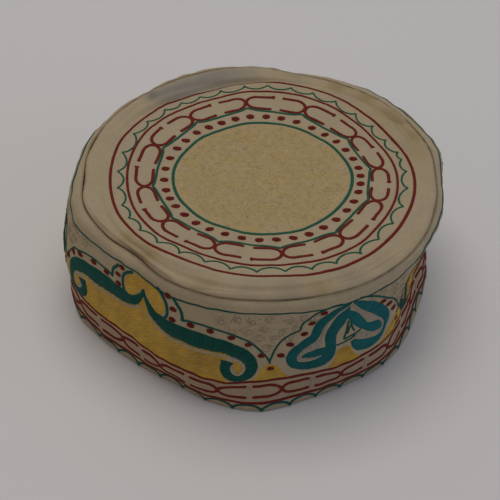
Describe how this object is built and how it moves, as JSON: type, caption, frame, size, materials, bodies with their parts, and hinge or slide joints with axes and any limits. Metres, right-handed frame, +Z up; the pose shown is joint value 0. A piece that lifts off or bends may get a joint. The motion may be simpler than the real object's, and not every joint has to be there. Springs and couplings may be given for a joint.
{
  "type": "embroidered cloth pillbox cap",
  "caption": "Soft round cap with a flat crown panel sewn to an upright side band, hollow and open below, resting on its hem.",
  "frame": {"origin": "centre of the bounding box in plan, on the plane that the hem rests on", "axes": "+Z up through the crown, -Y towards the side that the picture shows, +X to the right of that view"},
  "size_m": [0.1902, 0.1854, 0.0763],
  "materials": {
    "cream_cotton": "plain woven cream cotton, matt, stiffened inside",
    "red_thread": "dark red embroidery thread with a slight sheen",
    "teal_thread": "dark teal embroidery thread with a slight sheen",
    "gold_thread": "ochre gold embroidery thread with a slight sheen",
    "pale_thread": "pale beige embroidery thread, matt"
  },
  "bodies": {
    "root": {"crown_panel": "cream_cotton", "side_band": "cream_cotton"}
  },
  "joints": []
}
